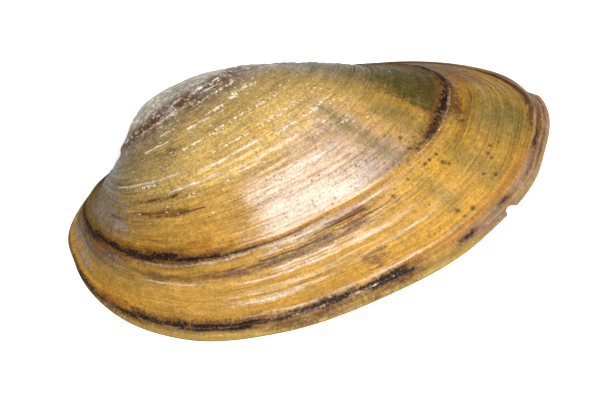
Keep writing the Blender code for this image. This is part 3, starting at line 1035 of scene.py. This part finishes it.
def shader_group(name, inputs, outputs):
    """An empty shader node group with named inputs and outputs. A tuple makes an input a vector."""
    tree = bpy.data.node_groups.new(name, "ShaderNodeTree")
    for socket, value in inputs.items():
        kind = "NodeSocketVector" if isinstance(value, tuple) else "NodeSocketFloat"
        made = tree.interface.new_socket(socket, in_out="INPUT", socket_type=kind)
        made.default_value = value
    for socket in outputs:
        tree.interface.new_socket(socket, in_out="OUTPUT", socket_type="NodeSocketFloat")
    entry = tree.nodes.new("NodeGroupInput")
    leave = tree.nodes.new("NodeGroupOutput")
    return tree, {socket: Signal(entry.outputs[socket]) for socket in inputs}, leave.inputs


def place_group(tree, group, values):
    """A shader node group placed in a material with its own values."""
    node = tree.nodes.new("ShaderNodeGroup")
    node.node_tree = group
    for name, value in values.items():
        feed(node.inputs[name], value)
    return node


def grain_group():
    """Cloudy grain from -0.5 to 0.5 that the skin, the cut edge and the pearl all show."""
    values = {"Place": (0.0, 0.0, 0.0), "Scale": 1.0, "Detail": 3.0, "Roughness": 0.6}
    tree, given, leave = shader_group("grain", values, ("Grain",))
    cloudy = noise(given["Place"], given["Scale"], given["Detail"], given["Roughness"])
    feed(leave["Grain"], cloudy - 0.5)
    return tree


def shell_grain(group, place, scale=1.0, detail=3.0, roughness=0.6):
    """Grain of one size in a material."""
    values = {"Place": place, "Scale": scale, "Detail": detail, "Roughness": roughness}
    return Signal(place_group(place.tree, group, values).outputs["Grain"])


def drawn_out(group, angle, line, grain):
    """Grain of the skin drawn out along the growth lines."""
    degrees, rows, layer, detail, roughness = grain
    place = combine(angle / degrees, line * rows, layer)
    return shell_grain(group, place, detail=detail, roughness=roughness)


def ring_mark_group():
    """Mask of a mark that runs along the growth lines between two angles, and of the stain round it."""
    values = {"Line": 0.0, "Angle": 90.0, "Texture": 0.0, **MARK_VALUES}
    tree, given, leave = shader_group("ring mark", values, ("Mask", "Stain"))
    body = 1.0 - maths("ABSOLUTE", given["Line"] - given["Place"]) / given["Half Breadth"]
    start = (given["Angle"] - given["From"]) / given["Fade"]
    end = (given["To"] - given["Angle"]) / given["Fade"]
    level = maths("MINIMUM", body, maths("MINIMUM", start, end))
    level = level + given["Texture"] * given["Raggedness"]
    feed(leave["Mask"], smooth_step(0.0, given["Soft"], level) * given["Strength"])
    feed(leave["Stain"], smooth_step(-1.2, 0.3, level) * given["Strength"])
    return tree


def ring_mark(group, line, angle, texture, mark):
    """Masks of one mark from the tables of marks, and of the stain round it."""
    values = {"Line": line, "Angle": angle, "Texture": texture, **dict(zip(MARK_VALUES, mark))}
    node = place_group(line.tree, group, values)
    return Signal(node.outputs["Mask"]), Signal(node.outputs["Stain"])


def speck_group():
    """Mask of small scattered specks, with the share of the places that have one as an input."""
    values = {"Along": 0.0, "Across": 0.0, "Density": 0.3, "Size": 0.4}
    tree, given, leave = shader_group("specks", values, ("Mask",))
    place = combine(given["Along"], given["Across"], 0.5)
    cells = add_node(tree, "ShaderNodeTexVoronoi", {"Vector": place, "Scale": 1.0, "Randomness": 1.0})
    red, green, _blue = separate(Signal(cells.outputs["Color"]))
    chosen = smooth_step(0.0, 0.04, given["Density"] - red)
    away = Signal(cells.outputs["Distance"]) / (given["Size"] * (0.5 + green))
    feed(leave["Mask"], (1.0 - smooth_step(0.5, 1.0, away)) * chosen)
    return tree


def specks(group, along, across, density, size):
    """Mask of small scattered specks."""
    values = {"Along": along, "Across": across, "Density": density, "Size": size}
    return Signal(place_group(along.tree, group, values).outputs["Mask"])


def skin_material(grains, mark_group, fleck_group):
    """Glossy golden brown outer skin with dark growth stops, pale lines of worn skin and painted
    highlight, a painted highlight over the crown, rays and spots.
    """
    finish = {"Specular_IOR_Level": 0.06, "Coat_Roughness": 0.27, "Coat_IOR": 1.6}
    material, tree, shader = new_material("outer skin", **finish)
    line, angle, stage = (surface(tree, name) for name in ("line", "angle", "stage"))
    spot = place_mm(tree)
    cloud, mottle, grain = (
        shell_grain(grains, spot, *look) for look in (SKIN_CLOUD, SKIN_MOTTLE, SKIN_GRAIN)
    )
    ragged, patches, dashes, streaks, threads = (
        drawn_out(grains, angle, line, look) for look in (RAGGED, PATCHES, DASHES, STREAKS, THREADS)
    )
    scratches = shell_grain(grains, combine(angle * 1.6, line * 10.0, 5.0), detail=3.0, roughness=0.7)
    around_mm = (angle - 90.0) * line * math.radians(FLAT_RADIUS)
    across_mm = line * FLAT_RADIUS

    colour = ramp(line + cloud * 0.02 + patches * 0.012, SKIN_BY_STAGE)
    front = 1.0 - smooth_step(*FRONT_ANGLES, angle + cloud * 20.0)
    front = front * smooth_step(*FRONT_STAGES, line)
    colour = tint(colour, FRONT_TINT, front * blend(0.80, 0.30, smooth_step(*FRONT_FADE, line)))
    old = window(*OLD_STAGES, line)
    greenish = smooth_step(-0.02, 0.18, cloud + mottle * 0.6 + patches * 0.5)
    colour = tint(colour, GREY_GREEN, old * greenish * 0.35)
    reddish = smooth_step(0.06, 0.24, mottle - cloud * 0.6 + dashes * 0.5)
    colour = tint(colour, PLUM, old * reddish * 0.30)
    rear = smooth_step(*REAR_ANGLES, angle + cloud * 10.0)
    rear = rear * (1.0 - smooth_step(*REAR_FADE, line) * 0.5)
    colour = tint(colour, REAR_TINT, rear * 0.85)
    # Painted light, partly lighter skin: the crown under the beak is made lighter where the soft box
    # lights the dome most; the rear flank is made a little lighter as well.
    crown_light = window(*CROWN_LIGHT_ANGLES, angle) * window(*CROWN_LIGHT_STAGES, line)
    flank = window(*FLANK_ANGLES, angle) * window(*FLANK_STAGES, line)
    colour = shade(colour, 1.0 + crown_light * 0.28 + flank * 0.12)
    # Painted highlight, partly worn hazy skin: a pale pink patch over the crown where the soft box
    # reflects.
    haze_and_highlight = window(*HAZE_AND_HIGHLIGHT_ANGLES, angle + cloud * 12.0)
    haze_and_highlight_start = 0.50 - smooth_step(98.0, 112.0, angle) * 0.08
    haze_and_highlight = haze_and_highlight * smooth_step(0.0, 0.13, line + patches * 0.05 - haze_and_highlight_start)
    haze_and_highlight = haze_and_highlight * (1.0 - smooth_step(*HAZE_AND_HIGHLIGHT_END, line)) * (0.58 + patches)
    colour = tint(colour, HAZE_AND_HIGHLIGHT, haze_and_highlight)
    for ray, half, low, high, shade_of, strength in RAYS:
        reach = window(low, high, 0.03, line + ragged * 0.02)
        across_ray = bell(angle + cloud * 5.0 + scratches * 2.0, ray, half)
        colour = tint(colour, shade_of, across_ray * reach * strength)
    rough_texture = ragged * 3.0 + patches * 2.2
    dash_texture = dashes * 4.5 + patches * 1.5
    dot_texture = grain * 5.0 + dashes * 1.5 + patches * 1.5 - 0.55
    dots = [(*row[:5], DOT_RAGGEDNESS, DOT_SOFT, row[5]) for row in DOT_ROWS]
    stained = None
    for paint_colour, texture, marks in (
        (LILAC, rough_texture + scratches * 3.0, LILAC_AND_HIGHLIGHT_MARKS),
        (SLATE, rough_texture, SLATE_MARKS),
        (AMBER, rough_texture, AMBER_MARKS),
        (OLIVE, rough_texture + scratches * 3.0, OLIVE_MARKS),
        (ROSE, dash_texture, ROSE_MARKS),
        (RUST, rough_texture, RUST_MARKS),
        (PLUM, dash_texture, PLUM_MARKS),
        (UMBER, rough_texture, UMBER_MARKS),
        (UMBER, dash_texture, BROWN_LINES),
        (CHALK, dash_texture, PALE_AND_HIGHLIGHT_LINES),
        (CHALK, dot_texture, dots),
    ):
        for mark in marks:
            mask, _stain = ring_mark(mark_group, line, angle, texture, mark)
            colour = tint(colour, paint_colour, mask)
            if paint_colour in (UMBER, PLUM):
                stained = mask if stained is None else maths("MAXIMUM", stained, mask)
    dark = None
    for mark in INK_MARKS:
        mask, stain = ring_mark(mark_group, line, angle, rough_texture * 0.75, mark)
        colour = tint(colour, STAIN, stain * 0.7)
        dark = mask if dark is None else maths("MAXIMUM", dark, mask)
    brown_ink = smooth_step(0.02, 0.22, dashes + ragged * 0.7)
    colour = tint(colour, INK, dark * (1.0 - brown_ink * 0.55))
    plum_flecks = smooth_step(0.03, 0.20, grain + ragged * 0.6 + dashes * 0.4)
    colour = tint(colour, PLUM, dark * plum_flecks * 0.50)
    flat_x = across_mm * maths("COSINE", angle * math.radians(1.0)) + mottle * 1.0
    flat_y = across_mm * maths("SINE", angle * math.radians(1.0)) + grain * 0.6
    for place, turn, radius in SPOTS:
        away_x = flat_x - FLAT_RADIUS * place * math.cos(math.radians(turn))
        away_y = flat_y - FLAT_RADIUS * place * math.sin(math.radians(turn))
        near = (away_x * away_x + away_y * away_y) ** 0.5 / (radius * 0.8)
        colour = tint(colour, UMBER, (1.0 - smooth_step(0.3, 1.2, near)) * 0.85)

    brown_density = window(*BROWN_SPECK_STAGES, line) * (0.12 + cloud * 0.5)
    brown = specks(fleck_group, around_mm * 2.2, across_mm * 2.6, brown_density, 0.36)
    colour = tint(colour, UMBER, brown * 0.5)
    pock_density = window(*POCK_STAGES, line) * window(*POCK_ANGLES, angle) * 0.35
    pocks = specks(fleck_group, around_mm * 2.4 + mottle, across_mm * 2.4, pock_density, 0.45)
    colour = tint(colour, PLUM, pocks * 0.45)
    middle = window(*PALE_SPECK_ANGLES, angle)
    pale_density = window(*PALE_SPECK_STAGES, line) * (0.10 + patches * 1.6)
    pale_density = pale_density * (0.30 + middle * 0.70)
    warp = mottle * 0.9
    pale = specks(fleck_group, around_mm * 1.3 + warp, across_mm * 3.6 + warp, pale_density, 0.36)
    glints = specks(fleck_group, around_mm * 1.8 + warp, across_mm * 5.0 + warp, dark * 0.35, 0.36)
    colour = tint(colour, CHALK, pale * 0.7)
    colour = tint(colour, GLINT, glints * 0.35)
    worn = 1.0 - smooth_step(*BARE_BEAK, stage)
    rings = drawn_out(grains, angle, stage, BEAK_RINGS)
    colour = tint(colour, SLATE, smooth_step(0.04, 0.22, rings + cloud * 0.5) * worn * 0.6)
    bare = smooth_step(0.02, 0.20, cloud - rings * 0.6 + mottle * 0.4) * worn
    colour = tint(colour, PEARL_GREY, bare * 0.5)
    scuffs = smooth_step(0.02, 0.18, mottle + grain * 0.6 + dashes * 0.5) * worn
    colour = tint(colour, CHALK, scuffs * 0.8)
    pits = smooth_step(0.04, 0.20, -mottle + grain * 0.6 - dashes * 0.5) * worn
    colour = tint(colour, UMBER, pits * 0.55)
    on_rim = smooth_step(*RIM_START, line)
    rim_stain = smooth_step(0.00, 0.22, grain + mottle * 0.7 + ragged * 0.4) * on_rim
    colour = tint(colour, UMBER, rim_stain * 0.50)
    rim_pale = smooth_step(0.04, 0.22, -grain + mottle * 0.5 + ragged * 0.4) * on_rim
    colour = tint(colour, CHALK, rim_pale * 0.30)
    steep = smooth_step(*STEEP_REAR, angle)
    light = (1.0 + streaks * (1.4 + steep * 2.5)) * (1.0 + threads * 1.0)
    light = light * (1.0 + grain * 1.3) * (1.0 + mottle * 1.1) * (1.0 + scratches * 0.4)
    light = light * (1.0 + cloud * 0.5) * (1.0 + old * (mottle + grain) * 0.7)
    colour = shade(colour, maths("MAXIMUM", light, DARKEST))
    feed(shader.inputs["Base Color"], colour)

    feed(shader.inputs["Roughness"], 0.45 + worn * 0.15 + mottle * 0.3)
    dull = 1.0 - window(*GLOSSY_ANGLES, angle)
    before_crown = 1.0 - smooth_step(76.0, 90.0, angle + cloud * 8.0)
    matt = window(*MATT_STAGES, line) * (0.26 + before_crown * 0.40)
    matt = matt + window(*MATTER_STAGES, line) * 0.20
    matt = matt + window(*MATT_RING, line) * 0.7
    gloss = 0.95 - worn * 0.5 - brown * 0.6 - dull * 0.7 - steep * 0.3 - matt
    gloss = gloss + grain * 1.1 + streaks * 1.4 + threads * 0.9
    gloss = gloss * (1.0 - dark) * (1.0 - stained * 0.85)
    feed(shader.inputs["Coat Weight"], maths("MINIMUM", maths("MAXIMUM", gloss, 0.0), 1.0))
    height = threads + grain * 0.5 + ragged * 0.5 + scratches * 0.3 + dark * 0.3 - pocks * 0.6
    add_bump(tree, shader, height, strength=0.7, depth=0.06)
    return material


def edge_material(grains):
    """Cut through the wall: a dark line of skin outside, chalky horn in layers, then pearl."""
    material, tree, shader = new_material("shell edge", Specular_IOR_Level=0.3)
    across, around = surface(tree, "across"), surface(tree, "around")
    spot = place_mm(tree)
    grain, stains = (shell_grain(grains, spot, *look) for look in (EDGE_GRAIN, EDGE_CLOUD))
    depth = across / RIM_ROWS + stains * 0.25
    colour = ramp(depth, EDGE_BY_DEPTH)
    layers = shell_grain(grains, combine(around * 40.0, depth * 14.0, 2.0), detail=2.0, roughness=0.5)
    colour = shade(colour, (1.0 + layers * 0.7) * (1.0 + grain * 0.8))
    feed(shader.inputs["Base Color"], colour)
    feed(shader.inputs["Roughness"], 0.6 - smooth_step(0.6, 1.0, depth) * 0.25 + grain * 0.3)
    add_bump(tree, shader, layers + grain, strength=0.5, depth=0.05)
    return material


def nacre_material(grains):
    """Mother-of-pearl lining: silver white, pink and blue by turns, matt outside the pallial line."""
    finish = {"Thin_Film_Thickness": 420.0, "Thin_Film_IOR": 1.5}
    material, tree, shader = new_material("mother of pearl", **finish)
    reach, run = surface(tree, "reach"), surface(tree, "run")
    spot = place_mm(tree)
    sheen, cloud, grain = (
        shell_grain(grains, spot, *look) for look in (PEARL_SHEEN, PEARL_CLOUD, PEARL_GRAIN)
    )
    rings = shell_grain(grains, combine(run * 0.03, reach * 0.9, 3.0), detail=4.0, roughness=0.6)
    colour = ramp(0.5 + sheen * 2.2 + rings * 0.5, PEARL)
    rim = 1.0 - smooth_step(*RIM_STAIN, reach + cloud * 1.2)
    colour = tint(colour, RIM_BROWN, rim * 0.75)
    wandering = reach + cloud * PALLIAL_WANDER
    line = bell(wandering, PALLIAL_LINE, PALLIAL_HALF)
    colour = shade(colour, 1.0 - line * 0.12)
    matt = 1.0 - smooth_step(PALLIAL_LINE - 0.5, PALLIAL_LINE + 0.5, wandering)
    stain = smooth_step(0.06, 0.30, cloud + sheen * 0.6)
    colour = tint(colour, PEARL_STAIN, stain * 0.4)
    scar = surface(tree, "scar")
    colour = shade(colour, 1.0 - scar * 0.16)
    colour = shade(colour, (1.0 + grain * 0.15) * (1.0 + rings * 0.2))
    feed(shader.inputs["Base Color"], colour)
    feed(shader.inputs["Roughness"], 0.24 + matt * 0.2 + scar * 0.12 + line * 0.15 + cloud * 0.2)
    height = rings + grain * 0.2 + scar * rings * 2.0
    add_bump(tree, shader, height, strength=0.4, depth=0.08)
    return material


def direction(azimuth, elevation):
    """Unit vector from the object towards a place that looks at it from an azimuth and elevation."""
    turn, rise = math.radians(azimuth), math.radians(elevation)
    flat = math.cos(rise)
    return Vector((math.sin(turn) * flat, -math.cos(turn) * flat, math.sin(rise)))


def add_camera():
    """The camera at the photograph's viewing angle."""
    lens = bpy.data.cameras.new("camera")
    lens.lens = CAMERA_LENS
    lens.sensor_width = CAMERA_SENSOR
    lens.clip_start, lens.clip_end = CAMERA_CLIP
    camera = bpy.data.objects.new("camera", lens)
    back = direction(CAMERA_AZIMUTH, CAMERA_ELEVATION)
    camera.location = (Vector(CAMERA_AIM) + back * CAMERA_DISTANCE) * MM
    camera.rotation_euler = (-back).to_track_quat("-Z", "Y").to_euler()
    bpy.context.scene.collection.objects.link(camera)
    bpy.context.scene.camera = camera


def add_light(name, azimuth, elevation, distance, size, power):
    """A square soft light that faces the object."""
    lamp = bpy.data.lights.new(name, "AREA")
    lamp.shape = "SQUARE"
    lamp.size = size
    lamp.energy = power
    light = bpy.data.objects.new(name, lamp)
    back = direction(azimuth, elevation)
    light.location = back * distance
    light.rotation_euler = (-back).to_track_quat("-Z", "Y").to_euler()
    bpy.context.scene.collection.objects.link(light)


def add_studio():
    """Plain pale floor, soft light and bright surroundings."""
    mesh = bpy.data.meshes.new("floor")
    signs = ((-1, -1), (1, -1), (1, 1), (-1, 1))
    corners = [(x * FLOOR_HALF, y * FLOOR_HALF, 0.0) for x, y in signs]
    mesh.from_pydata(corners, [], [(0, 1, 2, 3)])
    floor = bpy.data.objects.new("floor", mesh)
    material, tree, shader = new_material("pale floor", Roughness=0.9)
    shader.inputs["Base Color"].default_value = (0.92, 0.92, 0.92, 1.0)
    shader.inputs["Emission Color"].default_value = (1.0, 1.0, 1.0, 1.0)
    seen = output_of(tree, "ShaderNodeLightPath", output="Is Camera Ray")
    feed(shader.inputs["Emission Strength"], blend(*FLOOR_GLOW, seen))
    mesh.materials.append(material)
    bpy.context.scene.collection.objects.link(floor)
    world = bpy.data.worlds.new("surroundings")
    world.use_nodes = True
    glow = world.node_tree.nodes["Background"].inputs
    glow["Color"].default_value = (1.0, 1.0, 1.0, 1.0)
    glow["Strength"].default_value = SURROUNDINGS
    bpy.context.scene.world = world
    add_light("soft box", azimuth=21.0, elevation=62.0, distance=1.2, size=0.62, power=18.0)
    bpy.context.scene.view_settings.view_transform = "Standard"


add_camera()
add_studio()
grain = grain_group()
finishes = {
    "Skin": skin_material(grain, ring_mark_group(), speck_group()),
    "Edge": edge_material(grain),
    "Nacre": nacre_material(grain),
}
valve = grow_valve(finishes)
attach(valve, "root")
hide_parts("valve")
